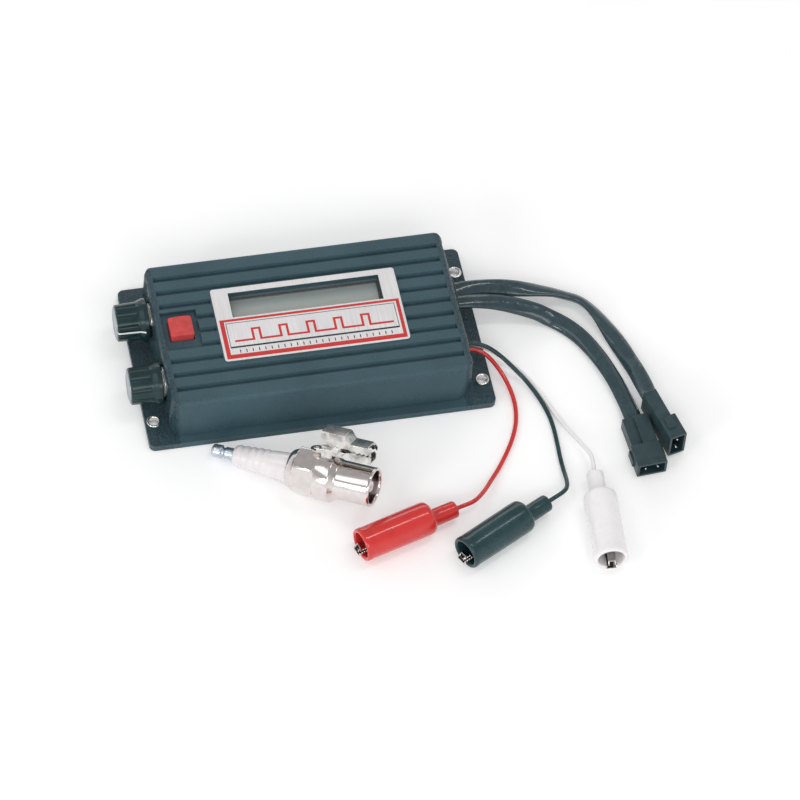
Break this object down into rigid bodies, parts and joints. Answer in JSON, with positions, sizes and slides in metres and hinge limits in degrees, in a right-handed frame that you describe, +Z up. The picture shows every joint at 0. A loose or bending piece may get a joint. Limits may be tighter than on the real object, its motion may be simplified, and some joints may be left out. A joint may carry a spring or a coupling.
{
  "type": "ignition tester",
  "caption": "Ribbed cast box with a display, push button and two knobs, a two-plug cable harness, booted clip leads and a loose test plug for checking ignition systems.",
  "frame": {"origin": "middle of the box's standing face, on the surface it rests on", "axes": "+Z up out of the ribbed face, +X towards the end where the cables leave, -Y towards the user"},
  "size_m": [0.2525, 0.1927, 0.037],
  "materials": {
    "cast_paint": "matte fine-textured dark slate paint",
    "plate_paint": "matte black paint",
    "zinc": "bright zinc plate",
    "nickel": "bright nickel plate",
    "face": "brushed, with a red and black printed border",
    "lens": "clear polished",
    "display": "grey-green liquid crystal",
    "black_frame": "matte black",
    "red_button": "satin red",
    "black_knob": "glossy black",
    "cap": "spun",
    "bush": "turned",
    "board": "green solder mask",
    "parts": "black moulding",
    "grommet": "matte black",
    "sleeve": "glossy black vinyl",
    "connector": "satin black nylon",
    "red_vinyl": "glossy red vinyl",
    "black_vinyl": "glossy black vinyl",
    "white_vinyl": "satin white vinyl",
    "ceramic": "white glaze"
  },
  "bodies": {
    "tester": {"housing_shell": "cast_paint", "base_plate": "plate_paint", "base_screws": "zinc", "flange_eyelets": "nickel", "label_plate": "face", "lcd_window": "lens", "lcd_frame": "black_frame", "lcd_glass": "display", "button_spring": "zinc", "button_switch": "parts", "main_board": "board", "board_components": "parts", "board_screws": "zinc", "harness_grommet": "grommet", "lead_grommet": "grommet", "front_sleeve": "sleeve", "rear_sleeve": "sleeve", "front_harness_plug": "connector", "rear_harness_plug": "connector", "front_contacts": "nickel", "rear_contacts": "nickel", "lead_clip_pins": "nickel", "lead_clip_springs": "zinc", "rear_control": "bush", "rear_nut": "bush", "rear_washer": "zinc", "front_control": "bush", "front_nut": "bush", "front_washer": "zinc", "red_lead": "red_vinyl", "red_lower_jaw": "nickel", "black_lead": "black_vinyl", "black_lower_jaw": "nickel", "white_lead": "white_vinyl", "white_lower_jaw": "nickel"},
    "rear_control_set": {"rear_knob": "black_knob", "rear_knob_cap": "cap", "rear_shaft": "zinc"},
    "front_control_set": {"front_knob": "black_knob", "front_knob_cap": "cap", "front_shaft": "zinc"},
    "button": {"test_button": "red_button"},
    "test_plug": {"plug_terminal": "zinc", "plug_insulator": "ceramic", "plug_electrode": "zinc", "plug_shell": "nickel", "plug_clip_base": "nickel", "plug_clip_pin": "nickel", "plug_clip_spring": "zinc"},
    "plug_clip": {"plug_clip_lever": "nickel"},
    "red_jaw": {"red_upper_jaw": "nickel"},
    "red_sleeve_boot": {"red_boot": "red_vinyl"},
    "black_jaw": {"black_upper_jaw": "nickel"},
    "black_sleeve_boot": {"black_boot": "black_vinyl"},
    "white_jaw": {"white_upper_jaw": "nickel"},
    "white_sleeve_boot": {"white_boot": "white_vinyl"}
  },
  "joints": [
    {"name": "rear_knob_turn", "type": "hinge", "parent": "tester", "child": "rear_control_set", "pos_m": [-0.0813, 0.0185, 0.0153], "axis": [-1, 0, 0], "range_deg": [-150, 150]},
    {"name": "front_knob_turn", "type": "hinge", "parent": "tester", "child": "front_control_set", "pos_m": [-0.0813, -0.0185, 0.0153], "axis": [-1, 0, 0], "range_deg": [-150, 150]},
    {"name": "button_press", "type": "slide", "parent": "tester", "child": "button", "axis": [0, 0, -1], "range_m": [0, 0.0015], "stiffness_N_per_m": 600, "springref_m": -0.0008, "deforming": ["button_spring"]},
    {"name": "red_clip_open", "type": "hinge", "parent": "tester", "child": "red_jaw", "pos_m": [0.01684, -0.11411, 0.0059], "axis": [-0.2924, 0.9563, 0], "range_deg": [0, 12], "stiffness_Nm_per_rad": 0.05, "springref_deg": -11.46},
    {"name": "red_boot_slide", "type": "slide", "parent": "tester", "child": "red_sleeve_boot", "axis": [0.9563, 0.2924, 0], "range_m": [0, 0.008]},
    {"name": "black_clip_open", "type": "hinge", "parent": "tester", "child": "black_jaw", "pos_m": [0.06224, -0.12346, 0.0059], "axis": [-0.4695, 0.8829, 0], "range_deg": [0, 12], "stiffness_Nm_per_rad": 0.05, "springref_deg": -11.46},
    {"name": "black_boot_slide", "type": "slide", "parent": "tester", "child": "black_sleeve_boot", "axis": [0.8829, 0.4695, 0], "range_m": [0, 0.008]},
    {"name": "white_clip_open", "type": "hinge", "parent": "tester", "child": "white_jaw", "pos_m": [0.11605, -0.12954, 0.0059], "axis": [-0.9976, 0.0698, 0], "range_deg": [0, 12], "stiffness_Nm_per_rad": 0.05, "springref_deg": -11.46},
    {"name": "white_boot_slide", "type": "slide", "parent": "tester", "child": "white_sleeve_boot", "axis": [0.0698, 0.9976, 0], "range_m": [0, 0.008]},
    {"name": "test_plug_lift", "type": "slide", "parent": "tester", "child": "test_plug", "axis": [0, 0, 1], "range_m": [0, 0.1]},
    {"name": "plug_clip_open", "type": "hinge", "parent": "test_plug", "child": "plug_clip", "pos_m": [0.00006, -0.07566, 0.02759], "axis": [-0.5318, -0.6889, 0.4926], "range_deg": [0, 28], "stiffness_Nm_per_rad": 0.1, "springref_deg": -11.46}
  ]
}
